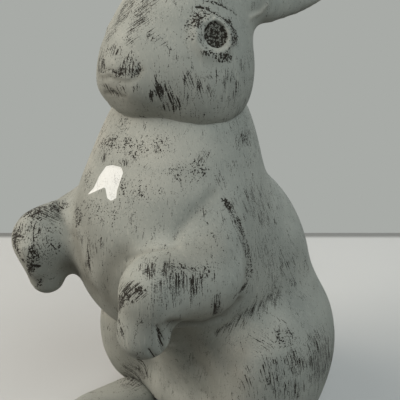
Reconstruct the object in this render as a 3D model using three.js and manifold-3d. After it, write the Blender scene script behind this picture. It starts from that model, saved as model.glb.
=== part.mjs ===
// Rabbit figurine that stands upright on its haunches with its forepaws raised.
// A hollow cast torso in two glued half shells carries separately cast head, ears, forepaws,
// hind feet and tail on dowels and pins. A plate closes the hollow and felt pads stand under it.
// Millimetres, +Z up. The rabbit looks along -Y and its own left side is +X.

import * as THREE from "three";
import { mergeVertices } from "three/addons/utils/BufferGeometryUtils.js";
import Module from "manifold-3d";

const wasm = await Module();
wasm.setup();

const radians = THREE.MathUtils.degToRad;
const offsetFrom = (origin, at) => at.map((value, axis) => value + origin[axis]);

// Driving dimensions: walls, fits and hardware

const GLUE_GAP = 0.3; // adhesive gap at flat joints and round pins
const CAST_GAP = 0.7; // adhesive bed between the curved faces of two castings
const SHELL_WALL = 8; // torso casting
const FLOOR_SLAB = 16; // solid foot of the torso, up to its hollow
const NECK_PLUG = 222; // height where the hollow ends under the neck
const NECK_TOP = 254; // flat top of the neck stub that the head sits on
const LIP_REACH = 6; // how far the left shell's lip enters the right shell
const LIP_ROOT = 2; // how far the lip runs back into the left shell
const LIP_SHARE = 0.5; // share of the wall that the lip takes
const OVERRUN = 1; // how far a cut runs past the face that it opens

const PAD_RADIUS = 9;
const PAD_THICKNESS = 2;
const PAD_SIDES = 18;

const PLATE_HALF_WIDTH = 32;
const PLATE_HALF_DEPTH = 24;
const PLATE_THICKNESS = 5;
const PLATE_LEDGE = 4; // width of the ledge that the plate is pushed up against
const PLATE_CENTRE_Y = 14;
const PLATE_SIDES = 14;

const NECK_DOWEL = { radius: 7, length: 44 };
const EAR_PIN = { radius: 2.5, length: 40 };
const PAW_PEG = { radius: 5, length: 36 };
const FOOT_DOWEL = { radius: 3, length: 34 };
const TAIL_PEG = { radius: 3, length: 26 };
const ROD_SIDES = 12;

// Driving dimensions: the modelled forms, each with its centre, its radii and its lean in degrees

const BELLY = { at: [0, 13, 84], radii: [58, 58, 88] };
const CHEST = { at: [0, -41, 160], radii: [64, 67, 72] };
const BACK = { at: [0, 10, 114], radii: [62, 59, 76] };
const NECK = { at: [0, -31, 218], radii: [46, 47, 52] };
const RUMP = { at: [0, 12, 16], radii: [64, 54, 28] };
const HIP = { at: [42, 20, 60], radii: [43, 53, 68] };
const KNEE = { at: [61, -13, 54], radii: [29, 37, 56], yaw: 12 };
const TAIL = { at: [0, 74, 38], radii: [24, 22, 25] };

const SHOULDER = { at: [50, -48, 186], radius: 10 };
const ELBOW = { at: [54, -72, 157], radius: 23 };
const WRIST = { at: [50, -105, 158], radius: 19.5 };
const LEFT_PALM = { at: [49, -108, 154], radius: 15 };
const LEFT_FINGERS = { at: [47, -111, 134], radius: 15.5 };
const RIGHT_PALM = { at: [-50, -105, 158], radius: 21 };
const RIGHT_FINGERS = { at: [-48, -107.5, 134.5], radius: 12 }; // held a little higher than the left
const PAW_CUT = { at: [52, -97, 158], out: 18, down: 12 }; // where the paw meets the forearm
const PAW_ROOM = 100; // width of the space cleared for a paw in front of that cut

const FOOT = { at: [45, -57, 6], radii: [19, 50, 14], yaw: 3 };
const TOES = { at: [46, -83, 6], radii: [22, 25, 13], yaw: 3 };

const HEAD = [0, -29, 276]; // centre of the skull; the other head forms are offsets from it
const SKULL = { at: [0, 0, 0], radii: [42, 41, 46] };
const CHEEK = { at: [20, -8, -20], radii: [28, 32, 31] };
const BROW = { at: [0, -9, 1], radius: 31 };
const SNOUT = { at: [0, -32, -8], radius: 24 };
const WHISKER_PAD = { at: [9, -40, -17], radii: [14, 15, 12] };
const NOSE = { at: [0, -52, -9], radii: [12, 6, 9] };
const CHIN = { at: [0, -34, -28], radii: [14, 15, 9] };

const EYE = { forward: 18, up: 10, ring: 9.6, lid: 2.3, socket: 7.6, depth: 2.4 };

const EAR = { at: [30, 80, 40], radii: [9, 62, 21], pitch: 15, yaw: -4 };
const EAR_ROOT = { from: [20, 10, 26], to: [28, 44, 32], radii: [15, 13] };
const EAR_HOLLOW = { out: 12.5, radii: [7.5, 46, 13] };
const EAR_CUT = 40; // how far behind the skull's centre the ear casting begins

// Fillet sizes where the modelled forms run together

const BODY_BLEND = 40;
const BACK_BLEND = 28;
const HAUNCH_BLEND = 25;
const THIGH_CREASE = 10;
const RUMP_BLEND = 20;
const SHOULDER_BLEND = 11;
const FOREARM_BLEND = 9;
const PAW_BLEND = 5;
const FACE_BLEND = 20;
const LIP_BLEND = 8;
const NOSE_BLEND = 5;
const EAR_BLEND = 12;
const TOE_BLEND = 12;

// Facet sizes of the cast surfaces

const TORSO_STEP = 9.4;
const HOLLOW_STEP = 16;
const HEAD_STEP = 7;
const LIMB_STEP = 6.8;
const EAR_MESH = { rings: 22, sides: 16 };
const FOOT_MESH = { rings: 18, sides: 16 };
const TAIL_MESH = { rings: 14, sides: 18 };
const LID_MESH = { round: 6, along: 18 };
const SOCKET_MESH = { sides: 20, rings: 12 };
const MARCH = 0.1; // stride of a search for a surface

// Colours of the finished pieces

const PAINT = { color: 0x84857f, roughness: 0.75, metalness: 0 };
const STEEL = { color: 0x9a9c9e, roughness: 0.4, metalness: 1 };
const BEECH = { color: 0xc9a878, roughness: 0.7, metalness: 0 };
const FIBREBOARD = { color: 0x8a6a48, roughness: 0.9, metalness: 0 };
const FELT = { color: 0x2e2d2b, roughness: 1, metalness: 0 };

// Spaces that the castings are worked out in

const TORSO_LOW = [-110, -140, -20];
const TORSO_HIGH = [110, 110, 290];
const HEAD_LOW = offsetFrom(HEAD, [-70, -90, -80]);
const HEAD_HIGH = offsetFrom(HEAD, [70, EAR_CUT + 30, 80]);
const PAW_LOW = offsetFrom(WRIST.at, [-40, -40, -55]);
const PAW_HIGH = offsetFrom(WRIST.at, [40, 34, 36]);
const CUTTER = 600; // size of a block that takes everything beyond a plane

const SOLE = PAD_THICKNESS + GLUE_GAP; // underside of the castings
const UP = new THREE.Vector3(0, 0, 1);

// Forms: functions of a point, negative inside, about the distance in millimetres outside

function blob({ at, radii, pitch = 0, yaw = 0 }) {
  const centre = new THREE.Vector3(...at);
  const lean = new THREE.Euler(radians(pitch), 0, radians(yaw), "ZXY");
  const unlean = new THREE.Quaternion().setFromEuler(lean).invert();
  const [rx, ry, rz] = radii;
  const q = new THREE.Vector3();
  return (p) => {
    q.copy(p).sub(centre).applyQuaternion(unlean);
    const reach = Math.hypot(q.x / rx, q.y / ry, q.z / rz);
    const slope = Math.hypot(q.x / rx ** 2, q.y / ry ** 2, q.z / rz ** 2);
    return slope > 0 ? (reach * (reach - 1)) / slope : -Math.min(rx, ry, rz);
  };
}

// A limb swells or tapers from a ball at one end to a ball at the other.
function limb(from, to) {
  const start = new THREE.Vector3(...from.at);
  const run = new THREE.Vector3(...to.at).sub(start);
  const q = new THREE.Vector3();
  return (p) => {
    q.copy(p).sub(start);
    const t = THREE.MathUtils.clamp(q.dot(run) / run.lengthSq(), 0, 1);
    return q.addScaledVector(run, -t).length() - THREE.MathUtils.lerp(from.radius, to.radius, t);
  };
}

// Two distances run together with a fillet of about the given size.
function blend(a, b, size) {
  const share = Math.max(size - Math.abs(a - b), 0) / size;
  return Math.min(a, b) - (share * share * size) / 4;
}

const joined = (size, first, ...rest) => (p) =>
  rest.reduce((distance, form) => blend(distance, form(p), size), first(p));
const carved = (size, form, tool) => (p) => -blend(-form(p), tool(p), size);
const grown = (form, by) => (p) => form(p) - by;

function bothSides(form) {
  const q = new THREE.Vector3();
  return (p) => form(q.set(Math.abs(p.x), p.y, p.z));
}

const onHead = (form) => ({ ...form, at: offsetFrom(HEAD, form.at) });

function bodyForm() {
  const trunk = joined(BODY_BLEND, blob(BELLY), blob(CHEST));
  const spine = joined(BACK_BLEND, trunk, blob(BACK), blob(NECK));
  const haunches = bothSides(joined(HAUNCH_BLEND, blob(HIP), blob(KNEE)));
  return joined(RUMP_BLEND, joined(THIGH_CREASE, spine, haunches), blob(RUMP));
}

function torsoForm(body) {
  const shoulders = joined(SHOULDER_BLEND, body, bothSides(limb(SHOULDER, ELBOW)));
  const forearms = joined(FOREARM_BLEND, shoulders, bothSides(limb(ELBOW, WRIST)));
  const leftHand = limb(LEFT_PALM, LEFT_FINGERS);
  return joined(PAW_BLEND, forearms, leftHand, limb(RIGHT_PALM, RIGHT_FINGERS));
}

function footForm() {
  return bothSides(joined(TOE_BLEND, blob(FOOT), blob(TOES)));
}

function earForm() {
  const root = limb(
    { at: offsetFrom(HEAD, EAR_ROOT.from), radius: EAR_ROOT.radii[0] },
    { at: offsetFrom(HEAD, EAR_ROOT.to), radius: EAR_ROOT.radii[1] },
  );
  const leaf = blob(onHead(EAR));
  const out = [EAR.at[0] + EAR_HOLLOW.out, EAR.at[1], EAR.at[2]];
  const hollow = blob(onHead({ ...EAR, at: out, radii: EAR_HOLLOW.radii }));
  return bothSides(carved(NOSE_BLEND, joined(EAR_BLEND, root, leaf), hollow));
}

function headForm() {
  const face = joined(
    FACE_BLEND,
    blob(onHead(SKULL)),
    bothSides(blob(onHead(CHEEK))),
    limb(onHead(BROW), onHead(SNOUT)),
  );
  const lips = joined(LIP_BLEND, face, bothSides(blob(onHead(WHISKER_PAD))), blob(onHead(CHIN)));
  const withNose = joined(NOSE_BLEND, lips, blob(onHead(NOSE)));
  return joined(EAR_BLEND, withNose, earForm());
}

// Solids

function solidOf(geometry) {
  const bare = geometry.clone();
  bare.deleteAttribute("normal");
  bare.deleteAttribute("uv");
  const merged = mergeVertices(bare, 1e-4);
  return new wasm.Manifold(
    new wasm.Mesh({
      numProp: 3,
      vertProperties: new Float32Array(merged.attributes.position.array),
      triVerts: new Uint32Array(merged.index.array),
    }),
  );
}

function geometryOf(solid) {
  const mesh = solid.getMesh();
  const geometry = new THREE.BufferGeometry();
  geometry.setAttribute("position", new THREE.BufferAttribute(mesh.vertProperties, 3));
  geometry.setIndex(new THREE.BufferAttribute(mesh.triVerts, 1));
  geometry.computeVertexNormals();
  return geometry;
}

// The closed skin of a form inside a box, by surface nets: one vertex in each grid cell that the
// surface crosses, drawn onto the surface, and one pair of triangles for each crossed grid edge.
function skin(form, low, high, step) {
  const count = high.map((value, axis) => Math.ceil((value - low[axis]) / step) + 1);
  const stride = [1, count[0], count[0] * count[1]];
  const values = new Float64Array(count[0] * count[1] * count[2]);
  const p = new THREE.Vector3();
  const eachCorner = (visit) => {
    for (let k = 0; k < count[2]; k++)
      for (let j = 0; j < count[1]; j++)
        for (let i = 0; i < count[0]; i++) visit([i, j, k], i + j * stride[1] + k * stride[2]);
  };
  const onRim = (cell) => cell.some((value, axis) => value === 0 || value === count[axis] - 1);
  eachCorner((cell, index) => {
    p.set(...cell.map((value, axis) => low[axis] + value * step));
    values[index] = onRim(cell) ? Math.max(form(p), step / 4) : form(p);
  });

  const vertices = [];
  const vertexOf = new Int32Array(values.length).fill(-1);
  const corners = [0, 1, 2, 3, 4, 5, 6, 7].map((c) => [c & 1, (c >> 1) & 1, c >> 2]);
  const edges = corners.flatMap((a, i) =>
    corners.map((b, j) => [i, j, a, b]).filter(([, j, , b]) => {
      const apart = a.reduce((sum, value, axis) => sum + Math.abs(value - b[axis]), 0);
      return j > i && apart === 1;
    }),
  );
  eachCorner((cell, index) => {
    if (cell.some((value, axis) => value === count[axis] - 1)) return;
    const at = corners.map((c) => values[index + c[0] + c[1] * stride[1] + c[2] * stride[2]]);
    const mean = new THREE.Vector3();
    let crossings = 0;
    for (const [i, j, a, b] of edges) {
      if (at[i] < 0 === at[j] < 0) continue;
      const t = at[i] / (at[i] - at[j]);
      mean.add(p.set(...a.map((value, axis) => value + t * (b[axis] - value))));
      crossings++;
    }
    if (!crossings) return;
    const corner = new THREE.Vector3(...cell).multiplyScalar(step).add(p.set(...low));
    const nearRim = cell.some((value, axis) => value === 0 || value >= count[axis] - 2);
    const vertex = corner.addScaledVector(mean, step / crossings);
    vertexOf[index] = vertices.length / 3;
    vertices.push(...(nearRim ? vertex : drawnOnto(form, vertex, step)).toArray());
  });

  const triangles = [];
  const apart = (a, b) => {
    const [ax, ay, az] = vertices.slice(3 * a, 3 * a + 3);
    return Math.hypot(ax - vertices[3 * b], ay - vertices[3 * b + 1], az - vertices[3 * b + 2]);
  };
  eachCorner((cell, index) => {
    for (let axis = 0; axis < 3; axis++) {
      const u = (axis + 1) % 3;
      const v = (axis + 2) % 3;
      if (!cell[u] || !cell[v] || cell[axis] === count[axis] - 1) continue;
      const inside = values[index] < 0;
      if (inside === values[index + stride[axis]] < 0) continue;
      const around = [0, stride[u], stride[u] + stride[v], stride[v]];
      const quad = around.map((back) => vertexOf[index - back]);
      if (!inside) quad.reverse();
      const [a, b, c, d] = quad;
      if (apart(a, c) < apart(b, d)) triangles.push(a, b, c, a, c, d);
      else triangles.push(a, b, d, b, c, d);
    }
  });
  return new wasm.Manifold(
    new wasm.Mesh({
      numProp: 3,
      vertProperties: new Float32Array(vertices),
      triVerts: new Uint32Array(triangles),
    }),
  );
}

// A ball of rings, stretched to a blob's shape and drawn onto the surface of a form. The poles lie
// along Y, the long way of the ears and the feet.
function drape(form, { at, radii, pitch = 0, yaw = 0 }, { rings, sides }) {
  const ball = new THREE.SphereGeometry(1, sides, rings).scale(...radii);
  const lean = new THREE.Euler(radians(pitch), 0, radians(yaw), "ZXY");
  ball.applyQuaternion(new THREE.Quaternion().setFromEuler(lean)).translate(...at);
  const position = ball.attributes.position;
  const p = new THREE.Vector3();
  for (let i = 0; i < position.count; i++) {
    const onto = drawnOnto(form, p.fromBufferAttribute(position, i), radii[0]);
    position.setXYZ(i, ...onto.toArray());
  }
  return solidOf(ball);
}

// Direction in which a form's distance grows.
function slopeOf(form, p) {
  const reach = 0.2;
  const slope = new THREE.Vector3();
  for (const axis of ["x", "y", "z"]) {
    const ahead = p.clone();
    const behind = p.clone();
    ahead[axis] += reach;
    behind[axis] -= reach;
    slope[axis] = (form(ahead) - form(behind)) / (2 * reach);
  }
  return slope;
}

// A point near a form's surface moved onto it, never further than one grid step.
function drawnOnto(form, start, step) {
  const p = start.clone();
  for (let round = 0; round < 4; round++) {
    const slope = slopeOf(form, p);
    p.addScaledVector(slope, -form(p) / Math.max(slope.lengthSq(), 0.1));
  }
  return p.distanceTo(start) < step ? p : start;
}

// Block that fills the side of a plane that the normal points to.
function beyond(point, normal, size = CUTTER) {
  const box = new THREE.BoxGeometry(size, size, size).translate(0, 0, size / 2);
  box.applyQuaternion(new THREE.Quaternion().setFromUnitVectors(UP, normal.clone().normalize()));
  return solidOf(box.translate(...point.toArray()));
}

// Round bar centred on a point, along a direction.
function bar(point, along, radius, length, sides = ROD_SIDES) {
  const rod = new THREE.CylinderGeometry(radius, radius, length, sides).rotateX(Math.PI / 2);
  rod.applyQuaternion(new THREE.Quaternion().setFromUnitVectors(UP, along.clone().normalize()));
  return solidOf(rod.translate(...point.toArray()));
}

// Upright oval block from one height to another.
function oval(halfWidth, halfDepth, bottom, top) {
  const outline = new THREE.Shape().absellipse(0, PLATE_CENTRE_Y, halfWidth, halfDepth, 0, 2 * Math.PI);
  const options = { depth: top - bottom, bevelEnabled: false, curveSegments: PLATE_SIDES };
  return solidOf(new THREE.ExtrudeGeometry(outline, options).translate(0, 0, bottom));
}

const rodOf = (seat, rod) => bar(seat.point, seat.along, rod.radius, rod.length);
const boreFor = (seat, rod) =>
  bar(seat.point, seat.along, rod.radius + GLUE_GAP, rod.length + 2 * GLUE_GAP);
const mirrored = ({ point, along }) => ({
  point: point.clone().setX(-point.x),
  along: along.clone().setX(-along.x),
});

// Seats: the middle of each dowel or pin, on the face where the two castings meet

const pawLean = new THREE.Euler(radians(PAW_CUT.down), 0, radians(PAW_CUT.out), "ZXY");
const pawSeat = {
  point: new THREE.Vector3(...PAW_CUT.at),
  along: new THREE.Vector3(0, -1, 0).applyEuler(pawLean),
};
const earLean = new THREE.Euler(radians(EAR.pitch), 0, radians(EAR.yaw), "ZXY");
const earAlong = new THREE.Vector3(0, 1, 0).applyEuler(earLean);
const earMiddle = new THREE.Vector3(...offsetFrom(HEAD, EAR.at));
const earSeat = {
  point: earMiddle.clone().addScaledVector(earAlong, (EAR_CUT - EAR.at[1]) / earAlong.y),
  along: earAlong,
};
const neckSeat = { point: new THREE.Vector3(0, HEAD[1], NECK_TOP), along: UP };

// Castings

const body = bodyForm();
const torso = torsoForm(body);
const wholeHead = headForm();
const ground = beyond(new THREE.Vector3(0, 0, SOLE), UP.clone().negate());
const aboveNeck = beyond(neckSeat.point, UP);

const bodySeat = skin(grown(body, CAST_GAP), TORSO_LOW, TORSO_HIGH, TORSO_STEP)
  .subtract(beyond(neckSeat.point.clone().setZ(NECK_TOP + GLUE_GAP), UP));

// The point where a line along Y through a foot or the tail meets the body's surface.
function meetingAlongY(x, z, from, stride) {
  const p = new THREE.Vector3(x, from, z);
  while (body(p) > 0) p.y += stride;
  return p;
}

const footSeat = {
  point: meetingAlongY(FOOT.at[0], SOLE + FLOOR_SLAB / 2, FOOT.at[1] - FOOT.radii[1], MARCH),
  along: new THREE.Vector3(0, 1, 0),
};
const tailSeat = {
  point: meetingAlongY(TAIL.at[0], TAIL.at[2], TAIL.at[1] + TAIL.radii[1], -MARCH),
  along: new THREE.Vector3(0, 1, 0),
};

function torsoBlock() {
  let block = skin(torso, TORSO_LOW, TORSO_HIGH, TORSO_STEP).subtract(ground).subtract(aboveNeck);
  for (const seat of [pawSeat, mirrored(pawSeat)]) {
    const back = seat.point.clone().addScaledVector(seat.along, -GLUE_GAP);
    block = block.subtract(beyond(back, seat.along, PAW_ROOM));
  }
  return block;
}

// Everything that is taken out of the torso's solid form.
function torsoCuts() {
  const plateTop = SOLE + PLATE_THICKNESS + GLUE_GAP;
  const throatTop = SOLE + FLOOR_SLAB + OVERRUN;
  return [
    hollowAt(SHELL_WALL),
    oval(PLATE_HALF_WIDTH + GLUE_GAP, PLATE_HALF_DEPTH + GLUE_GAP, SOLE - OVERRUN, plateTop),
    oval(PLATE_HALF_WIDTH - PLATE_LEDGE, PLATE_HALF_DEPTH - PLATE_LEDGE, SOLE, throatTop),
    boreFor(pawSeat, PAW_PEG),
    boreFor(mirrored(pawSeat), PAW_PEG),
    boreFor(footSeat, FOOT_DOWEL),
    boreFor(mirrored(footSeat), FOOT_DOWEL),
    boreFor(tailSeat, TAIL_PEG),
    boreFor(neckSeat, NECK_DOWEL),
  ];
}

// The space inside the torso, at a given depth below its surface.
function hollowAt(depth, shortBy = 0) {
  const space = skin(grown(body, -depth), TORSO_LOW, TORSO_HIGH, HOLLOW_STEP);
  const bottom = new THREE.Vector3(0, 0, SOLE + FLOOR_SLAB + shortBy);
  const top = new THREE.Vector3(0, 0, NECK_PLUG - shortBy);
  return space.subtract(beyond(bottom, UP.clone().negate())).subtract(beyond(top, UP));
}

// The torso parts along the middle; a lip on the left shell enters a rebate in the right one.
function torsoShells() {
  const leftward = new THREE.Vector3(1, 0, 0);
  const leftOf = (x) => beyond(new THREE.Vector3(x, 0, 0), leftward);
  const block = torsoBlock();
  const lipDepth = SHELL_WALL * (1 - LIP_SHARE);
  const ring = hollowAt(lipDepth, GLUE_GAP).intersect(leftOf(-LIP_REACH));
  const lip = ring.subtract(leftOf(LIP_ROOT));
  const rebate = hollowAt(lipDepth - CAST_GAP).intersect(leftOf(-LIP_REACH - GLUE_GAP));
  let left = block.intersect(leftOf(GLUE_GAP / 2)).add(lip);
  let right = block.subtract(leftOf(-GLUE_GAP / 2)).subtract(rebate);
  for (const cut of torsoCuts()) {
    left = left.subtract(cut);
    right = right.subtract(cut);
  }
  return { left, right };
}

function forepaw(side) {
  const seat = side > 0 ? pawSeat : mirrored(pawSeat);
  const low = side > 0 ? PAW_LOW : [-PAW_HIGH[0], PAW_LOW[1], PAW_LOW[2]];
  const high = side > 0 ? PAW_HIGH : [-PAW_LOW[0], PAW_HIGH[1], PAW_HIGH[2]];
  return skin(torso, low, high, LIMB_STEP)
    .intersect(beyond(seat.point, seat.along, PAW_ROOM))
    .subtract(boreFor(seat, PAW_PEG));
}

function hindFoot(side) {
  const seat = side > 0 ? footSeat : mirrored(footSeat);
  const x = side * FOOT.at[0];
  const shape = { ...FOOT, at: [x, FOOT.at[1], FOOT.at[2]], yaw: side * FOOT.yaw };
  return drape(footForm(), shape, FOOT_MESH)
    .subtract(bodySeat)
    .subtract(ground)
    .subtract(boreFor(seat, FOOT_DOWEL));
}

function eyeSeat() {
  const [, y, z] = offsetFrom(HEAD, [0, -EYE.forward, EYE.up]);
  const point = new THREE.Vector3(2 * SKULL.radii[0], y, z);
  while (wholeHead(point) > 0) point.x -= MARCH;
  return { point, along: slopeOf(wholeHead, point).normalize() };
}

// Rolled eyelid round a shallow socket.
function withEye(head, seat) {
  const turn = new THREE.Quaternion().setFromUnitVectors(UP, seat.along);
  const lid = new THREE.TorusGeometry(EYE.ring, EYE.lid, LID_MESH.round, LID_MESH.along);
  lid.applyQuaternion(turn).translate(...seat.point.toArray());
  const reach = (EYE.socket ** 2 + EYE.depth ** 2) / (2 * EYE.depth);
  const centre = seat.point.clone().addScaledVector(seat.along, reach - EYE.depth);
  const ball = new THREE.SphereGeometry(reach, SOCKET_MESH.sides, SOCKET_MESH.rings);
  return head.add(solidOf(lid)).subtract(solidOf(ball.translate(...centre.toArray())));
}

function headCasting() {
  let head = skin(wholeHead, HEAD_LOW, HEAD_HIGH, HEAD_STEP).subtract(bodySeat);
  head = head.subtract(boreFor(neckSeat, NECK_DOWEL));
  for (const seat of [earSeat, mirrored(earSeat)]) {
    const front = seat.point.clone().addScaledVector(seat.along, -GLUE_GAP);
    head = head.subtract(beyond(front, seat.along)).subtract(boreFor(seat, EAR_PIN));
  }
  const eye = eyeSeat();
  return withEye(withEye(head, eye), mirrored(eye));
}

function earCasting(side) {
  const seat = side > 0 ? earSeat : mirrored(earSeat);
  const at = earMiddle.clone().setX(side * earMiddle.x).toArray();
  return drape(wholeHead, { ...EAR, at, yaw: side * EAR.yaw }, EAR_MESH)
    .intersect(beyond(seat.point, seat.along))
    .subtract(boreFor(seat, EAR_PIN));
}

function tailCasting() {
  return drape(blob(TAIL), TAIL, TAIL_MESH)
    .subtract(bodySeat)
    .subtract(boreFor(tailSeat, TAIL_PEG));
}

function feltPad(x, y) {
  return bar(new THREE.Vector3(x, y, PAD_THICKNESS / 2), UP, PAD_RADIUS, PAD_THICKNESS, PAD_SIDES);
}

// Assembly

const rabbit = new THREE.Group();

function place(name, solid, finish) {
  const mesh = new THREE.Mesh(geometryOf(solid), new THREE.MeshStandardMaterial(finish));
  mesh.name = name;
  rabbit.add(mesh);
}

const shells = torsoShells();
place("torso_left_shell", shells.left, PAINT);
place("torso_right_shell", shells.right, PAINT);
place("head", headCasting(), PAINT);
place("tail", tailCasting(), PAINT);
place("neck_dowel", rodOf(neckSeat, NECK_DOWEL), BEECH);
place("tail_peg", rodOf(tailSeat, TAIL_PEG), BEECH);
place("base_plate", oval(PLATE_HALF_WIDTH, PLATE_HALF_DEPTH, SOLE, SOLE + PLATE_THICKNESS), FIBREBOARD);

for (const [name, side] of [["left", 1], ["right", -1]]) {
  const mine = (seat) => (side > 0 ? seat : mirrored(seat));
  place(`${name}_ear`, earCasting(side), PAINT);
  place(`${name}_ear_pin`, rodOf(mine(earSeat), EAR_PIN), STEEL);
  place(`${name}_forepaw`, forepaw(side), PAINT);
  place(`${name}_forepaw_peg`, rodOf(mine(pawSeat), PAW_PEG), BEECH);
  place(`${name}_hind_foot`, hindFoot(side), PAINT);
  place(`${name}_foot_dowel`, rodOf(mine(footSeat), FOOT_DOWEL), BEECH);
  place(`${name}_front_pad`, feltPad(side * TOES.at[0], TOES.at[1] + PAD_RADIUS), FELT);
  place(`${name}_rear_pad`, feltPad(side * HIP.at[0], HIP.at[1] + PAD_RADIUS), FELT);
}

// The origin is the middle of the footprint, under the whole figure.
const extent = new THREE.Box3().setFromObject(rabbit);
rabbit.position.y = -(extent.min.y + extent.max.y) / 2;

export default rabbit;
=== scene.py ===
import math

import bmesh
import bpy
import numpy as np
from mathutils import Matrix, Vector, noise
from mathutils.bvhtree import BVHTree


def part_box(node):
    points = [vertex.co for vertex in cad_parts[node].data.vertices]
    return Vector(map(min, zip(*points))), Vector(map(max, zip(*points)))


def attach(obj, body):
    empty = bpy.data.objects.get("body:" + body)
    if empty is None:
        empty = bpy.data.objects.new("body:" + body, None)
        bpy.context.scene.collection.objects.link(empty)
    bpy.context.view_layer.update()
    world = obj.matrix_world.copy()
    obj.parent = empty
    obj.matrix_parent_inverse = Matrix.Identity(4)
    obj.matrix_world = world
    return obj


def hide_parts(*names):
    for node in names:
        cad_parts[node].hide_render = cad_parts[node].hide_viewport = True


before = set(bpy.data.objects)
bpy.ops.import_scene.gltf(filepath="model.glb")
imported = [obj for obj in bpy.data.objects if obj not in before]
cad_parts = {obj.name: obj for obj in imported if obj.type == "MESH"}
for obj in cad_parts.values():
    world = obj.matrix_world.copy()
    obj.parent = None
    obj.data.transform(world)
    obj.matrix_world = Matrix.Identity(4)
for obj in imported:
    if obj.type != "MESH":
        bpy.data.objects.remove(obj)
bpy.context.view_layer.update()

# The rabbit's castings are skinned over the loaded solids, carved, and painted matt grey with dark brown
# dry-brushed strokes. Metres throughout; MM turns millimetres into metres.

MM = 0.001

# Camera, fitted to the photograph

PIXELS = 400
VIEW_AZIMUTH = math.radians(42)
VIEW_ELEVATION = math.radians(20)
VIEW_DISTANCE = 0.410
VIEW_ANGLE = math.radians(36)
VIEW_START = 0.01
AIM = Vector((0.008, -0.014, 0.177))

# Lamps, all turned to the aim: place, width, watts and colour

LAMPS = {
    "key": ((-0.9, -1.05, 1.2), 1.4, 31, (1.0, 0.92, 0.83)),
    "top": ((0.9, -0.4, 1.2), 1.0, 7.8, (0.92, 0.99, 1.0)),
    "side": ((1.0, 0.6, 0.9), 0.8, 3.2, (0.86, 0.97, 1.0)),
    "back": ((-0.6, 1.2, 0.9), 1.0, 8.0, (0.95, 0.98, 1.0)),
}
AMBIENT = 0.11

# Table top: its reach from under the aim, and the painted shadow along its far edge

TABLE_SIDE = 3.0
TABLE_NEAR = 3.0
TABLE_FAR = 0.36
BAND_START = 0.02  # from the far edge
BAND_FULL = 0.008
BAND_COVER = 0.8
TABLE_ROUGHNESS = 0.6
TABLE_GLOSS = 0.1
MOTTLE_STEPS = 8  # how much darker its mottling is, out of 255

# Skins: the castings that each one covers, its voxel before one subdivision, and how facets are evened out

TORSO_NODES = ("torso_left_shell", "torso_right_shell")
BODY_NODES = (*TORSO_NODES, "left_forepaw", "right_forepaw")
HEAD_NODES = ("head", "left_ear", "right_ear")
BODY_VOXEL = 2.6 * MM
HEAD_VOXEL = 2.0 * MM
SMALL_VOXEL = 2.2 * MM
ROUNDS = 70
SHRINK = 0.5
SWELL = 0.52
PLUG_FROM = 0.205  # height where the neck that fills the head's seat begins
PLUG_SHARE = 0.94  # its width, as a share of the neck's
PLATE_LIFT = 2 * MM  # depth of the recess that the base plate shows in

# Colours as they look in plain light, red, green and blue out of 255

PAINT_LIGHT = (164, 166, 158)
PAINT_DARK = (150, 153, 146)
# Pale of the dry-brushed streaks, and of the painted highlights
PALE_PAINT_AND_HIGHLIGHT_GREY = (205, 202, 190)
WASH_BROWN = (30, 24, 17)
# Grey of the stains between strokes, and of the painted shade
STAIN_AND_SHADE_GREY = (92, 89, 78)
CHIP_WHITE = (243, 245, 243)
CHIP_GREY = (233, 234, 229)
FELT_GREY = (48, 46, 44)
BOARD_BROWN = (138, 108, 74)
BEECH_TAN = (201, 170, 124)
STEEL_GREY = (170, 172, 175)
TABLE_WHITE = (199, 200, 198)
TABLE_BOUNCE = (105, 103, 98)
# Painted shadow along the table's far edge
TABLE_EDGE_SHADOW = (98, 99, 96)
WALL_GREY = (168, 171, 167)

# Kinds of paint. The brush was dragged down the castings, with the stroke's top leaning to one side by the
# degrees given, seen from outside. It was also dragged over the limbs, across their length, and dabbed.
# Pale paint lies on what stands out as a painted highlight, and painted shade lies in the hollows and creases
# and under the limbs.

LEFT = "left"
UP = "up"
RIGHT = "right"
OVER = "over"
DAB = "dab"
# Painted highlight: pale paint laid where light falls on what stands out
PAINTED_HIGHLIGHT = "painted_highlight"
# Painted shade: dark grey laid where shade falls, in hollows and creases and under the limbs
PAINTED_SHADE = "painted_shade"
CHIP = "chip"
LEANS = {LEFT: -17, UP: 0, RIGHT: 28}
STROKES = (*LEANS, OVER, DAB)
STROKE_LENGTH = 22  # in stroke widths
DAB_SIZE = 2.2  # in stroke widths

# Patches of paint: pixel x and y in the photograph's frame, half width, half height, kind and density

PATCH_CORE = 0.5  # half sizes from the middle within which a patch has its full density
PATCH_EDGE = 2.0  # half sizes from the middle at which it ends
PATCH_REACH = 2.5  # half sizes from the middle, through the casting, beyond which nothing is painted
PATCH_FADE = 0.8  # share of that reach where the paint starts to fade

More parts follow.
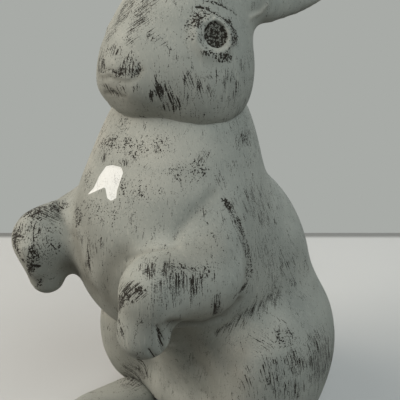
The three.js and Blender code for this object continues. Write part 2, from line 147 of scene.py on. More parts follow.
FACE_STROKES = [
    (143, 14, 8, 22, RIGHT, 0.8), (134, 34, 6, 10, RIGHT, 0.75), (120, 17, 2, 6, RIGHT, 1.0),
    (151, 36, 12, 5, RIGHT, 0.5), (114, 50, 8, 5, UP, 0.6), (129, 62, 11, 9, UP, 0.7),
    (127, 71, 12, 3.5, UP, 0.9), (103.5, 65, 3, 5, LEFT, 0.9), (117, 91, 7, 4, LEFT, 0.7),
    (137, 88, 3, 4, UP, 0.7), (151, 96, 2, 6, UP, 0.8), (159, 89, 3.5, 10, LEFT, 1.2),
    (167, 88, 3, 6, LEFT, 0.75), (171, 99, 3, 8, LEFT, 0.95), (171, 107, 10, 4, UP, 0.9),
    (178, 103, 3, 5, LEFT, 1.0), (190, 78, 5, 9, LEFT, 0.85), (199, 86, 3, 13, LEFT, 0.9),
    (209, 90, 3, 7, LEFT, 1.0), (204, 79, 7, 4, LEFT, 0.65), (212, 99, 6, 4, UP, 0.65),
    (196, 115, 10, 4, UP, 0.6), (231, 86, 7, 22, UP, 0.6), (242, 65, 3, 6, UP, 0.6),
    (183, 57.5, 8, 2, UP, 0.7), (197, 20, 6, 7, DAB, 1.2), (193, 36, 6, 4, DAB, 0.85),
    (223, 57, 9, 5, DAB, 1.15), (208, 53, 6, 3, DAB, 1.05), (235, 38, 2, 7, DAB, 1.15),
    (205, 14, 6, 4, DAB, 0.9), (189, 28, 4, 6, DAB, 0.8), (229, 23, 3, 6, DAB, 0.9),
]
CHEST_STROKES = [
    (124, 125, 8, 5, DAB, 0.6), (124, 144, 12, 8, DAB, 0.7), (137, 152, 12, 6, DAB, 0.75),
    (160, 146, 9, 9, DAB, 0.65), (127, 162, 10, 5, LEFT, 0.6), (190, 172, 17, 9, DAB, 0.65),
    (202, 156, 6, 7, RIGHT, 0.75), (243, 139, 6, 10, RIGHT, 0.65), (131, 192, 22, 10, DAB, 0.5),
    (104, 213, 16, 10, DAB, 0.5), (78, 217, 3.5, 10, DAB, 1.0), (80, 238, 2.5, 6, LEFT, 0.85),
    (89, 256, 4, 17, UP, 0.8), (98, 243, 4, 7, UP, 0.65),
    # Painted highlights on the chest
    (175, 150, 30, 16, PAINTED_HIGHLIGHT, 0.6), (165, 185, 26, 12, PAINTED_HIGHLIGHT, 0.4),
]
ARM_STROKES = [
    (222, 182, 4, 7, LEFT, 0.55), (213, 232, 7, 11, LEFT, 0.45), (132, 292, 12, 9, RIGHT, 1.0),
    (120, 303, 4, 8, RIGHT, 1.1), (124, 300, 7, 7, DAB, 0.95), (139, 290, 8, 4, DAB, 0.9),
    (149, 270, 7, 9, OVER, 1.05), (167, 272, 6, 11, OVER, 1.05), (159, 290, 8, 14, OVER, 0.85),
    (178, 287, 8, 16, OVER, 0.85), (193, 284, 8, 14, OVER, 0.8), (203, 272, 8, 8, DAB, 0.7),
    (217, 305, 5, 13, UP, 0.95), (119, 329, 5, 9, LEFT, 0.75), (180, 268, 12, 5, DAB, 0.7),
]
LEG_STROKES = [
    (135, 376, 13, 12, LEFT, 0.85), (265, 343, 10, 10, LEFT, 0.65), (284, 338, 10, 10, DAB, 0.8),
    (295, 362, 9, 12, UP, 0.95), (320, 358, 15, 24, UP, 0.8), (248, 378, 6, 14, UP, 0.65),
    (271, 376, 12, 20, UP, 0.7), (292, 390, 15, 10, UP, 0.75), (277, 270, 20, 30, LEFT, 0.5),
    # The last patch is a painted highlight on the thigh's top
    (258, 205, 13, 22, LEFT, 0.6), (252, 342, 22, 16, PAINTED_HIGHLIGHT, 1.5),
]
FAR_PAW_STROKES = [
    (32, 212, 13, 7, DAB, 1.05), (58, 206, 10, 5, DAB, 0.95), (18, 233, 3, 6, DAB, 1.0),
    (31, 262, 4, 13, DAB, 1.1), (38, 258, 3, 7, DAB, 0.95), (39, 283, 3, 5, DAB, 1.0),
    (36, 236, 22, 26, DAB, 0.52), (48, 212, 14, 8, RIGHT, 0.9), (36, 240, 12, 18, LEFT, 0.65),
]

# Lines that are cut into the castings: pixels, half width and depth in millimetres, the kind of paint that
# they hold and its density. A ridge has a negative depth.

LINE_REACH = 4  # half widths from a line's middle at which its cut ends
LINE_SOAK = 1.3  # half width of its paint, as a share of its own

FACE_LINES = [
    ([(197, 7), (204, 8), (214, 12), (223, 17), (230, 23), (234, 30), (235, 39)], 0.8, 0.45, DAB, 1.4),
    ([(204, 1), (214, 2), (224, 6.5), (233, 11), (237, 16)], 0.6, 0.35, DAB, 1.2),
    ([(110, 70), (116, 73), (124, 75), (133, 75), (138, 71), (139, 65)], 1.2, 0.4, DAB, 1.1),
    # Painted shade under the nose and along the mouth
    ([(108, 76), (118, 80.5), (128, 81.5), (137, 77), (141, 70)], 1.7, 0.6, PAINTED_SHADE, 0.35),
    ([(106, 87), (111, 91), (118, 94.5), (125, 97)], 1.3, 0.4, PAINTED_SHADE, 0.4),
    ([(140, 116), (152, 119.5), (166, 121.5)], 0.8, 0.1, DAB, 0.9),
    # Painted highlight along the ear's fold
    ([(250, 17), (256, 14.5), (261, 12), (267, 4)], 1.5, -0.8, PAINTED_HIGHLIGHT, 0.9),
]
HAND_LINES = [
    ([(157, 327), (160, 336), (164, 352)], 1.2, 1.1, LEFT, 1.05),
    ([(149, 350), (154, 358)], 1.0, 0.8, LEFT, 0.9),
    ([(135, 356), (140, 358.5), (146, 360.5)], 0.9, 0.5, LEFT, 0.9),
    # Painted shade in the web between the hand and the forearm
    ([(173, 327), (172, 335), (169, 345)], 3.5, 2.2, PAINTED_SHADE, 0.1),
]
BODY_LINES = [
    ([(225, 201), (232, 212), (239, 225), (244, 238), (246, 250), (248, 264), (248, 278)],
     2.2, 0.3, DAB, 1.05),
    ([(229, 203), (238, 217), (244, 231), (249, 248), (252, 272)], 0.9, 0.15, DAB, 1.1),
    ([(229, 206), (241, 230), (247, 252)], 4.6, 0.1, LEFT, 0.7),
    ([(247, 284), (236, 296)], 1.8, 0.3, RIGHT, 1.05),
    ([(220, 332), (240, 318), (258, 308), (276, 296)], 5.0, 0.9, RIGHT, 0.8),
    # Painted highlights on the thigh's crest and on the back
    ([(246, 370), (254, 352), (264, 335), (276, 324)], 9.0, -2.6, PAINTED_HIGHLIGHT, 0.9),
    ([(297, 238), (303, 257), (311, 276)], 9.0, -2.6, PAINTED_HIGHLIGHT, 0.1),
    # Painted shade along the creases between the chest and the arm
    ([(212, 195), (197, 210), (181, 228), (175, 240)], 3.4, 0.9, PAINTED_SHADE, 0.15),
    ([(177, 246.5), (165, 248), (151, 250), (139, 254), (127, 260)], 1.5, 1.0, PAINTED_SHADE, 0.3),
    ([(206, 222), (212, 234), (219, 246), (226, 257)], 0.7, 0.05, DAB, 0.85),
    # Painted shade on the arm's top, under the forearm, in the hollow by the thigh and on the chest beside
    # the forearm
    ([(175, 263), (195, 256), (214, 247)], 10.0, 0.1, PAINTED_SHADE, 0.36),
    ([(168, 324), (203, 324), (223, 317), (238, 301)], 3.0, 1.6, PAINTED_SHADE, 0.5),
    ([(180, 336), (190, 352), (196, 368)], 10.0, 5.0, PAINTED_SHADE, 0.3),
    ([(123, 256), (111, 266), (105, 282), (107, 300)], 6.0, 0.6, PAINTED_SHADE, 0.45),
]
FAR_LINES = [
    ([(122, 368), (130, 383), (138, 394)], 1.4, 0.3, LEFT, 0.85),
    # Painted shade on the chest beside the far paw
    ([(70, 266), (82, 277), (94, 290)], 6.0, 0.5, PAINTED_SHADE, 0.55),
    ([(80, 202), (86, 228), (96, 255)], 9.0, 0.1, PAINTED_SHADE, 0.25),
    # Painted highlights on the far paw's ridges
    ([(27, 250), (30, 260), (35, 271)], 7.0, -2.8, PAINTED_HIGHLIGHT, 0.1),
    ([(30, 220), (44, 212), (58, 206)], 8.0, -3.4, PAINTED_HIGHLIGHT, 0.1),
]

# Place on the chest where the paint is chipped off, in pixels: a point inside it and its outline

CHIP_PIXEL = (112, 180)
CHIP_OUTLINE = [
    (106, 166), (112, 165), (121, 167), (123, 173), (120, 181), (117, 190), (116, 198), (111, 201),
    (107, 198), (105, 187), (98, 190), (87, 195), (94, 187), (99, 176),
]
CHIP_REACH = 45 * MM  # radius round that point within which the outline lies
CHIP_DEPTH = 0.4 * MM
CHIP_SLOPE = (-0.5, 0.8)  # millimetres inside the outline between which the surface sinks
CHIP_LIMIT = 1.0  # millimetres from the outline beyond which the paint is all there or all gone

# Eye: its place in the photograph and the half axes of its socket. Rings are in those half axes, and depths
# in millimetres. The socket is rough and dark, with painted shade in it. A pitted groove with a painted
# highlight lies round it, and then a fold.

EYE_PIXEL = (215, 35)
EYE_HALF = (6.5 * MM, 7.2 * MM)
EYE_FIELD = 8 * MM  # radius of the surface that gives the eye its direction
EYE_REACH = 9 * MM  # distance in front of and behind that surface within which it is carved
SOCKET_WALL = (1.06, 0.84)  # rings between which it sinks
SOCKET_DEPTH = 1.8
SOCKET_RISE = 1.1  # height of its middle above its bottom
SOCKET_DOME = (1.0, 0.1)  # rings between which it rises
SOCKET_PITS = 0.6
SOCKET_SHADE = 0.5
SOCKET_DABS = 1.05
RIM_DABS = 0.6
RIM = (0.6, 1.0)  # rings between which the rim's own dabs set in
PIT_SIZE = 1.8 * MM
PIT_SEED = 7.0
PIT_DABS = 0.5
PIT_HIGHLIGHT = 0.4
LID_RING = 1.25
LID_WIDTH = 0.22
LID_DEPTH = 0.6
LID_PITS = 0.9
LID_HIGHLIGHT = 0.2
HIGHLIGHT_WIDTH = 0.2
FOLD_RING = 1.62
FOLD_WIDTH = 0.14
FOLD_DEPTH = 0.4
RING_DABS = 0.8
DAB_RING = 1.55
DAB_WIDTH = 0.3

# Hind toes: how far back they are parted, and the grooves between them: how far apart, how wide and deep, and
# their paint

TOE_LENGTH = 30 * MM
TOE_PITCH = 14 * MM
TOE_GROOVE = 1.6 * MM
# Painted shade in the grooves between the toes
TOE_SHADE = 0.4
TOE_DABS = 0.8

# Tail: the size and height of its tufts of fur, the paint between them, and the seed of their noise

TUFT_SIZE = 5 * MM
TUFT_HEIGHT = 0.9 * MM
TUFT_DABS = 0.9
TUFT_SEED = 5.0

# Strokes all over, and denser ones where the photograph doesn't show the surface: mean density, how far it
# varies, over what distance, and the seed of its noise

ALL_OVER = (0.2, 0.22, 30 * MM, 3.0)
OUT_OF_SIGHT = (0.6, 0.5, 25 * MM, 9.0)
GRAZING = 0.2  # cosine at which a surface begins to turn away
FRAME_FADE = (0.48, 0.55)  # distances from the picture's middle between which it ends, in its widths

# Noise of the finishes: repeats in a metre, levels of detail, their roughness, and how far it is drawn out

CLOUD = {"scale": 30, "detail": 3, "rough": 0.5}
DRAG = {"scale": 900, "detail": 3, "rough": 0.6, "stretch": (1, 1, 9)}
SPECK = {"scale": 1300, "detail": 2, "rough": 0.6, "stretch": (1, 1, 3)}
CLUMP = {"scale": 220, "detail": 3, "rough": 0.6, "stretch": (1, 1, 2)}
GRAIN = {"scale": 1600, "detail": 1, "rough": 0.5}
STREAK = {"scale": 2000, "detail": 2, "rough": 0.5, "warp": 0.2}
FELT_FIBRES = {"scale": 1500, "detail": 4, "rough": 0.7, "stretch": (1, 1, 3)}
BOARD_FIBRES = {"scale": 700, "detail": 4, "rough": 0.65, "stretch": (6, 1, 1)}
BEECH_GRAIN = {"scale": 600, "detail": 4, "rough": 0.6, "stretch": (1, 8, 8)}
STEEL_LINES = {"scale": 1800, "detail": 3, "rough": 0.5, "stretch": (1, 12, 1)}
TABLE_MOTTLE = {"scale": 6, "detail": 3, "rough": 0.5}

# Painted finish. A stroke shows where the weighted sum of three noises passes a level, which density lowers.

STREAK_WEIGHT = 0.53
CLUMP_WEIGHT = 0.25
GRAIN_WEIGHT = 0.22
STROKE_LEVEL = 0.648
STROKE_PULL = -0.15
STROKE_EDGE = (-0.006, 0.014)
STROKE_COVER = 0.97
DOT_LEVEL = 0.7
DOT_PULL = -0.12
DOT_EDGE = (-0.02, 0.05)
DOT_COVER = 0.6
STAIN_COVER = 0.08  # share of a patch's density that stains the paint between its strokes
CLOUD_EDGE = (0.35, 0.65)
DRAG_EDGE = (0.5, 0.8)
DRAG_COVER = 0.3
DRAG_RELIEF = 0.35  # as a share of a stroke's
CHIP_EDGE = (-0.12, 0.12)  # millimetres inside the outline
PAINT_RELIEF = 0.2 * MM
PAINT_ROUGHNESS = 0.8
PAINT_GLOSS = 0.25


def linear(colour):
    """A colour out of 255 as linear red, green, blue and alpha, by the standard screen curve."""
    def channel(value):
        value /= 255
        return value / 12.92 if value <= 0.04045 else ((value + 0.055) / 1.055) ** 2.4
    return (*(channel(value) for value in colour), 1.0)


def darker(colour, steps):
    """A colour out of 255, with each channel lower by some steps."""
    return [value - steps for value in colour]


def ramp(values, low, high):
    """0 at low, 1 at high, smooth between."""
    share = np.clip((values - low) / (high - low), 0, 1)
    return share * share * (3 - 2 * share)


def bell(values, width):
    """1 at zero, falling off smoothly to both sides."""
    return np.exp(-(values / width) ** 2)


# Camera

def make_camera():
    """A camera with the photograph's view."""
    camera = bpy.data.objects.new("camera", bpy.data.cameras.new("camera"))
    bpy.context.collection.objects.link(camera)
    camera.data.angle = VIEW_ANGLE
    camera.data.clip_start = VIEW_START
    back = Vector((
        math.sin(VIEW_AZIMUTH) * math.cos(VIEW_ELEVATION),
        -math.cos(VIEW_AZIMUTH) * math.cos(VIEW_ELEVATION),
        math.sin(VIEW_ELEVATION),
    ))
    camera.location = AIM + back * VIEW_DISTANCE
    camera.rotation_euler = (-back).to_track_quat("-Z", "Y").to_euler()
    bpy.context.scene.camera = camera
    return camera


def pixel_direction(x, y):
    """Direction from the camera through a pixel of the photograph's frame."""
    reach = math.tan(VIEW_ANGLE / 2)
    half = PIXELS / 2
    local = Vector(((x - half) / half * reach, -(y - half) / half * reach, -1))
    return (camera.rotation_euler.to_matrix() @ local).normalized()


def on_photo(points):
    """Pixel x and y of points, and pixels per metre there."""
    local = (points - np.array(camera.location)) @ np.array(camera.rotation_euler.to_matrix())
    scale = PIXELS / 2 / math.tan(VIEW_ANGLE / 2) / -local[:, 2]
    return PIXELS / 2 + local[:, 0] * scale, PIXELS / 2 - local[:, 1] * scale, scale


# Skins

def node_lump(node, lift=0.0):
    """Corners and faces of a CAD node, moved up by lift."""
    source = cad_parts[node]
    up = Vector((0, 0, lift))
    corners = [source.matrix_world @ vertex.co + up for vertex in source.data.vertices]
    return corners, [list(face.vertices) for face in source.data.polygons]


def hull_lump(corners):
    """Corners and faces of the convex hull of some points."""
    work = bmesh.new()
    for corner in corners:
        work.verts.new(corner)
    bmesh.ops.convex_hull(work, input=work.verts)
    work.verts.index_update()
    hull = [vertex.co.copy() for vertex in work.verts]
    sides = [[vertex.index for vertex in face.verts] for face in work.faces]
    work.free()
    return hull, sides


def joined_mesh(lumps):
    """One mesh that holds all the lumps as they are."""
    vertices, faces = [], []
    for corners, sides in lumps:
        start = len(vertices)
        vertices += corners
        faces += [[start + index for index in side] for side in sides]
    mesh = bpy.data.meshes.new("joined")
    mesh.from_pydata(vertices, [], faces)
    return mesh


def with_modifier(mesh, kind, **settings):
    """A copy of the mesh with one modifier applied."""
    holder = bpy.data.objects.new("holder", mesh)
    bpy.context.collection.objects.link(holder)
    modifier = holder.modifiers.new(kind, kind)
    for key, value in settings.items():
        setattr(modifier, key, value)
    graph = bpy.context.evaluated_depsgraph_get()
    result = bpy.data.meshes.new_from_object(holder.evaluated_get(graph))
    bpy.data.objects.remove(holder)
    return result


def read(mesh, key):
    """One vector for each vertex of a mesh, such as its place or its normal."""
    flat = np.empty(len(mesh.vertices) * 3)
    mesh.vertices.foreach_get(key, flat)
    return flat.reshape(-1, 3)


def smooth(mesh):
    """Evens out the facets without losing volume: each round shrinks a little and swells back."""
    edges = np.empty(len(mesh.edges) * 2, dtype=np.int64)
    mesh.edges.foreach_get("vertices", edges)
    first, second = edges.reshape(-1, 2).T
    ends = np.concatenate([first, second])
    others = np.concatenate([second, first])
    points = read(mesh, "co")
    count = len(points)
    degree = np.bincount(ends, minlength=count)[:, None]
    for step in [SHRINK, -SWELL] * ROUNDS:
        around = np.stack([np.bincount(ends, points[others, axis], count) for axis in range(3)], 1)
        points += step * (around / degree - points)
    mesh.vertices.foreach_set("co", points.ravel())
    mesh.update()


class Casting:
    """The smooth outer surface of castings that are glued, filled and painted as one."""

    def __init__(self, name, nodes, lumps, voxel):
        joined = joined_mesh(lumps)
        rough = with_modifier(joined, "REMESH", mode="VOXEL", voxel_size=voxel)
        smooth(rough)
        self.mesh = with_modifier(rough, "SUBSURF", levels=1)
        for mesh in (joined, rough):
            bpy.data.meshes.remove(mesh)
        self.mesh.name = name
        self.nodes = nodes
        self.refresh()
        self.paint = {kind: np.zeros(len(self.points)) for kind in (*STROKES, PAINTED_HIGHLIGHT, PAINTED_SHADE)}
        self.paint[CHIP] = np.full(len(self.points), -CHIP_LIMIT)
        self.ways = self.brush_ways()

    def refresh(self):
        """Reads the places and normals of the mesh again, for carving and for finding points on it."""
        self.mesh.update()
        self.points = read(self.mesh, "co")
        self.out = read(self.mesh, "normal")
        faces = [list(face.vertices) for face in self.mesh.polygons]
        self.tree = BVHTree.FromPolygons(self.points.tolist(), faces)

    def brush_ways(self):
        """For each kind of stroke, places in which noise gives strokes of its shape and lean."""
        x, y, z = (self.points - np.median(self.points, 0)).T
        radius = np.hypot(x, y)
        girth = radius.mean()
        down = z - radius
        aside = x * math.cos(VIEW_AZIMUTH) + y * math.sin(VIEW_AZIMUTH)
        ahead = y * math.cos(VIEW_AZIMUTH) - x * math.sin(VIEW_AZIMUTH)
        ways = {DAB: self.points / DAB_SIZE}
        ways[OVER] = np.stack([aside, ahead / STROKE_LENGTH, z / STROKE_LENGTH], 1)
        for lean, degrees in LEANS.items():
            angle = np.arctan2(y, x) - math.tan(math.radians(degrees)) * down / girth
            around = (girth * np.cos(angle), girth * np.sin(angle))
            ways[lean] = np.stack([*around, down / STROKE_LENGTH], 1)
        return ways

    def push(self, distance):
        """Moves each point outwards by its distance, in metres."""
        self.points = self.points + self.out * distance[:, None]
        self.mesh.vertices.foreach_set("co", self.points.ravel())

    def soak(self, kind, density):
        """Adds one kind of paint, where there is less of it."""
        self.paint[kind] = np.maximum(self.paint[kind], density)


def neck_plug():
    """The neck, a little narrower, which fills the head's seat so that the head's rim stays whole."""
    corners = [corner for node in TORSO_NODES for corner in node_lump(node)[0]]
    neck = [corner for corner in corners if corner.z > PLUG_FROM]
    middle = sum(neck, Vector()) / len(neck)
    return hull_lump([
        Vector((
            middle.x + PLUG_SHARE * (corner.x - middle.x),
            middle.y + PLUG_SHARE * (corner.y - middle.y),
            corner.z,
        ))
        for corner in neck
    ])


def foot_casting(node):
    """A hind foot, with its heel's dowel hole filled."""
    foot = node_lump(node)
    low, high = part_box(node)
    middle = (low[1] + high[1]) / 2
    heel = hull_lump([corner for corner in foot[0] if corner.y > middle])
    return Casting(node + "_skin", (node,), [foot, heel], SMALL_VOXEL)


# Places on the castings

def touch(x, y):
    """The nearest surface behind a pixel: casting, point and distance."""
    best = (None, None, math.inf)
    for casting in castings:
        place, _, _, distance = casting.tree.ray_cast(camera.location, pixel_direction(x, y))
        if place is not None and distance < best[2]:
            best = (casting, np.array(place), distance)
    return best


def traced(pixels):
    """The first casting behind a line of pixels, and points on it about a pixel apart."""
    points, casting = [], None
    for (x0, y0), (x1, y1) in zip(pixels, pixels[1:]):
        count = max(2, int(math.hypot(x1 - x0, y1 - y0)) + 1)
        for share in np.linspace(0, 1, count):
            hit, place, _ = touch(x0 + share * (x1 - x0), y0 + share * (y1 - y0))
            if hit is not None and casting in (None, hit):
                casting = hit
                points.append(place)
    return casting, np.array(points)


def flipped(casting, points):
    """The same points on the other side of the rabbit, drawn onto its surface."""
    return np.array([casting.tree.find_nearest((-x, y, z))[0] for x, y, z in points])


def gap_to(points, line, reach):
    """Distance from each point to the nearest point of a line, infinite beyond reach."""
    near = np.all((points > line.min(0) - reach) & (points < line.max(0) + reach), 1)
    gaps = np.full(len(points), np.inf)
    steps = points[near][:, None] - line[None]
    gaps[near] = np.sqrt((steps ** 2).sum(2).min(1))
    return gaps


def wander(casting, size, seed):
    """Slow variation over a surface, from about -1 to 1."""
    shift = Vector((seed, 2 * seed, 3 * seed))
    return np.array([noise.noise(Vector(point) / size + shift) for point in casting.points])


def unseen(casting):
    """1 where the photograph doesn't show the surface: it faces away or lies outside the frame."""
    to_camera = np.array(camera.location) - casting.points
    facing = (casting.out * to_camera).sum(1) / np.linalg.norm(to_camera, axis=1)
    across, down, _ = on_photo(casting.points)
    from_middle = np.maximum(np.abs(across - PIXELS / 2), np.abs(down - PIXELS / 2))
    fade_from, fade_to = FRAME_FADE
    outside = ramp(from_middle, fade_from * PIXELS, fade_to * PIXELS)
    return np.maximum(ramp(facing, GRAZING, -GRAZING), outside)


# Carving and the density of paint

def cut_lines(lines, both_sides=True):
    """Cuts lines into the surface, or raises them, and soaks them with paint."""
    for pixels, width, depth, kind, density in lines:
        casting, line = traced(pixels)
        if both_sides:
            line = line[line[:, 0] > 0]
        for place in [line, flipped(casting, line)] if both_sides else [line]:
            gaps = gap_to(casting.points, place, LINE_REACH * width * MM)
            casting.push(-depth * MM * bell(gaps, width * MM))
            casting.soak(kind, density * bell(gaps, LINE_SOAK * width * MM))


def brush(patches, both_sides=True):
    """Soaks patches of the surface with one kind of paint each, where their middle lies on a casting."""
    for x, y, half_width, half_height, kind, density in patches:
        _, centre, _ = touch(x, y)
        if centre is None:
            continue
        turn = math.radians(LEANS.get(kind, 0))
        for side in (1, -1) if both_sides and centre[0] > 0 else (1,):
            for casting in castings:
                points = casting.points * (side, 1, 1)
                across, down, scale = on_photo(points)
                across, down = across - x, down - y
                along = (-down * math.cos(turn) + across * math.sin(turn)) / half_height
                aside = (across * math.cos(turn) + down * math.sin(turn)) / half_width
                reach = PATCH_REACH * max(half_width, half_height) / scale
                near = ramp(np.linalg.norm(points - centre, axis=1), reach, PATCH_FADE * reach)
                casting.soak(kind, density * near * ramp(np.hypot(along, aside), PATCH_EDGE, PATCH_CORE))


def brush_all_over(casting, kind, mean, change, size, seed, share=1.0):
    """Soaks a casting with strokes of uneven density, or the share of it that is given for each point."""
    casting.soak(kind, share * (mean + change * wander(casting, size, seed)))


def part_toes(casting):
    """Two grooves that part the toes of a hind foot."""
    x, y, _ = casting.points.T
    toes = ramp(y, y.min() + TOE_LENGTH, y.min() + TOE_LENGTH / 2)
    upper = ramp(casting.out[:, 2], -GRAZING, GRAZING)
    for side in (-1, 1):
        groove = toes * upper * bell(x - (x.min() + x.max()) / 2 - side * TOE_PITCH / 2, TOE_GROOVE)
        casting.push(-TOE_GROOVE * groove)
        # Painted shade in the groove
        casting.soak(PAINTED_SHADE, TOE_SHADE * groove)
        casting.soak(DAB, TOE_DABS * groove)


def ruffle(casting):
    """Fur worked into the tail's surface."""
    tufts = wander(casting, TUFT_SIZE, TUFT_SEED)
    casting.push(TUFT_HEIGHT * tufts)
    casting.soak(DAB, -TUFT_DABS * tufts)


def inside_outline(x, y, outline):
    """Distance of places from the edge of an outline, negative outside it."""
    inside = np.zeros(len(x), dtype=bool)
    edge = np.full(len(x), np.inf)
    for (x0, y0), (x1, y1) in zip(outline, outline[1:] + outline[:1]):
        run = (x1 - x0, y1 - y0)
        share = np.clip(((x - x0) * run[0] + (y - y0) * run[1]) / (run[0] ** 2 + run[1] ** 2), 0, 1)
        edge = np.minimum(edge, np.hypot(x - x0 - share * run[0], y - y0 - share * run[1]))
        crosses = (y0 > y) != (y1 > y)
        if y1 != y0:
            inside ^= crosses & (x < x0 + (y - y0) / (y1 - y0) * run[0])
    return np.where(inside, edge, -edge)


def chip_paint(casting):
    """Marks and sinks the chipped place: millimetres inside its outline, negative outside."""
    across, down, scale = on_photo(casting.points)
    _, centre, _ = touch(*CHIP_PIXEL)
    near = np.linalg.norm(casting.points - centre, axis=1) < CHIP_REACH
    signed = inside_outline(across[near], down[near], CHIP_OUTLINE) / scale[near] / MM
    casting.paint[CHIP][near] = np.clip(signed, -CHIP_LIMIT, CHIP_LIMIT)
    sunk = np.zeros(len(casting.points))
    sunk[near] = -CHIP_DEPTH * ramp(signed, *CHIP_SLOPE)
    casting.push(sunk)


def carve_eye(casting, centre):
    """A rough sunken oval, with a pitted groove in the lid round it and a fold outside the lid."""
    close = np.linalg.norm(casting.points - centre, axis=1) < EYE_FIELD
    facing = Vector(casting.out[close].mean(0)).normalized()
    ahead = facing.cross(Vector((0, 0, 1))).normalized()
    above = ahead.cross(facing).normalized()
    offset = casting.points - centre
    flat = np.hypot(offset @ np.array(ahead) / EYE_HALF[0], offset @ np.array(above) / EYE_HALF[1])
    ring = np.where(np.abs(offset @ np.array(facing)) < EYE_REACH, flat, np.inf)
    pits = wander(casting, PIT_SIZE, PIT_SEED)
    socket = ramp(ring, *SOCKET_WALL)
    lid = bell(ring - LID_RING, LID_WIDTH)
    fold = bell(ring - FOLD_RING, FOLD_WIDTH)
    dome = ramp(ring, *SOCKET_DOME)
    shape = -SOCKET_DEPTH * socket + SOCKET_RISE * socket * dome + SOCKET_PITS * socket * pits
    shape += (LID_PITS * pits - LID_DEPTH) * lid - FOLD_DEPTH * fold
    casting.push(shape * MM)
    casting.soak(DAB, socket * (SOCKET_DABS + PIT_DABS * pits + RIM_DABS * ramp(ring, *RIM)))
    casting.soak(DAB, (RING_DABS + PIT_DABS * pits) * bell(ring - DAB_RING, DAB_WIDTH))
    # Painted shade in the sunken socket
    casting.soak(PAINTED_SHADE, SOCKET_SHADE * socket)
    # Painted highlight on the lid
    casting.soak(PAINTED_HIGHLIGHT, bell(ring - LID_RING, HIGHLIGHT_WIDTH) * (LID_HIGHLIGHT + PIT_HIGHLIGHT * pits))


# Materials

class Shader:
    """A material under construction: nodes are added by kind, with sockets or values as inputs."""

    def __init__(self, name):
        self.material = bpy.data.materials.new(name)
        self.material.use_nodes = True
        self.tree = self.material.node_tree
        self.surface = self.tree.nodes["Principled BSDF"]

    def add(self, kind, inputs=None, **settings):
        """A new node of the kind that is named, with its settings and inputs."""
        made = self.tree.nodes.new("ShaderNode" + kind)
        for key, value in settings.items():
            setattr(made, key, value)
        for key, value in (inputs or {}).items():
            self.put(made.inputs[key], value)
        return made

    def put(self, socket, value):
        """Links a socket into another one, or sets its value."""
        if isinstance(value, bpy.types.NodeSocket):
            self.tree.links.new(value, socket)
        else:
            socket.default_value = value

    def set(self, **values):
        """Sets or links sockets of the surface; an underscore stands for a space."""
        for key, value in values.items():
            self.put(self.surface.inputs[key.replace("_", " ")], value)

    def noise(self, where, scale, detail, rough, warp=0.0):
        """Noise from 0 to 1 at the places that are given."""
        inputs = {"Vector": where, "Scale": scale, "Detail": detail, "Roughness": rough, "Distortion": warp}
        return self.add("TexNoise", inputs).outputs["Fac"]

    def pattern(self, stretch=(1, 1, 1), **settings):
        """Noise over the object's own coordinates, drawn out by the stretch."""
        where = self.add("TexCoord").outputs["Object"]
        drawn = self.add("Mapping", {"Vector": where, "Scale": stretch}, vector_type="TEXTURE")
        return self.noise(drawn.outputs[0], **settings)

    def attribute(self, name, output="Fac"):
        """What the mesh holds for each point under a name."""
        return self.add("Attribute", attribute_name=name).outputs[output]

    def math(self, operation, *values):
        """One step of arithmetic."""
        return self.add("Math", dict(enumerate(values)), operation=operation).outputs[0]

    def step(self, value, low, high):
        """0 below low, 1 above high, smooth between."""
        inputs = {"Value": value, "From Min": low, "From Max": high}
        return self.add("MapRange", inputs, interpolation_type="SMOOTHSTEP").outputs[0]

    def mix(self, share, first, second):
        """A colour between two others."""
        inputs = {"Factor": share, "A": first, "B": second}
        made = self.add("Mix", data_type="RGBA")
        for socket in made.inputs:
            if socket.enabled and socket.name in inputs:
                self.put(socket, inputs[socket.name])
        return next(socket for socket in made.outputs if socket.enabled)

    def emboss(self, height, depth):
        """Raises the surface by up to depth where height is 1."""
        bump = self.add("Bump", {"Height": height, "Distance": depth, "Strength": 1.0})
        self.put(self.surface.inputs["Normal"], bump.outputs[0])


def dry_brushing(shader, speck):
    """Where strokes and specks of dark paint show, and how densely each place is soaked."""
    grain = shader.math("MULTIPLY", shader.pattern(**GRAIN), GRAIN_WEIGHT)
    uneven = shader.math("MULTIPLY_ADD", shader.pattern(**CLUMP), CLUMP_WEIGHT, grain)
    strokes, soaked = 0.0, 0.0
    for kind in STROKES:
        density = shader.attribute(kind)
        streak = shader.noise(shader.attribute(kind + "_way", "Vector"), **STREAK)
        mixed = shader.math("MULTIPLY_ADD", streak, STREAK_WEIGHT, uneven)
        needed = shader.math("MULTIPLY_ADD", density, STROKE_PULL, STROKE_LEVEL)
        stroke = shader.step(shader.math("SUBTRACT", mixed, needed), *STROKE_EDGE)
        strokes = shader.math("MAXIMUM", strokes, stroke)
        soaked = shader.math("MAXIMUM", soaked, density)
    needed = shader.math("MULTIPLY_ADD", soaked, DOT_PULL, DOT_LEVEL)
    dots = shader.step(shader.math("SUBTRACT", speck, needed), *DOT_EDGE)
    return shader.math("MAXIMUM", strokes, shader.math("MULTIPLY", dots, DOT_COVER)), soaked


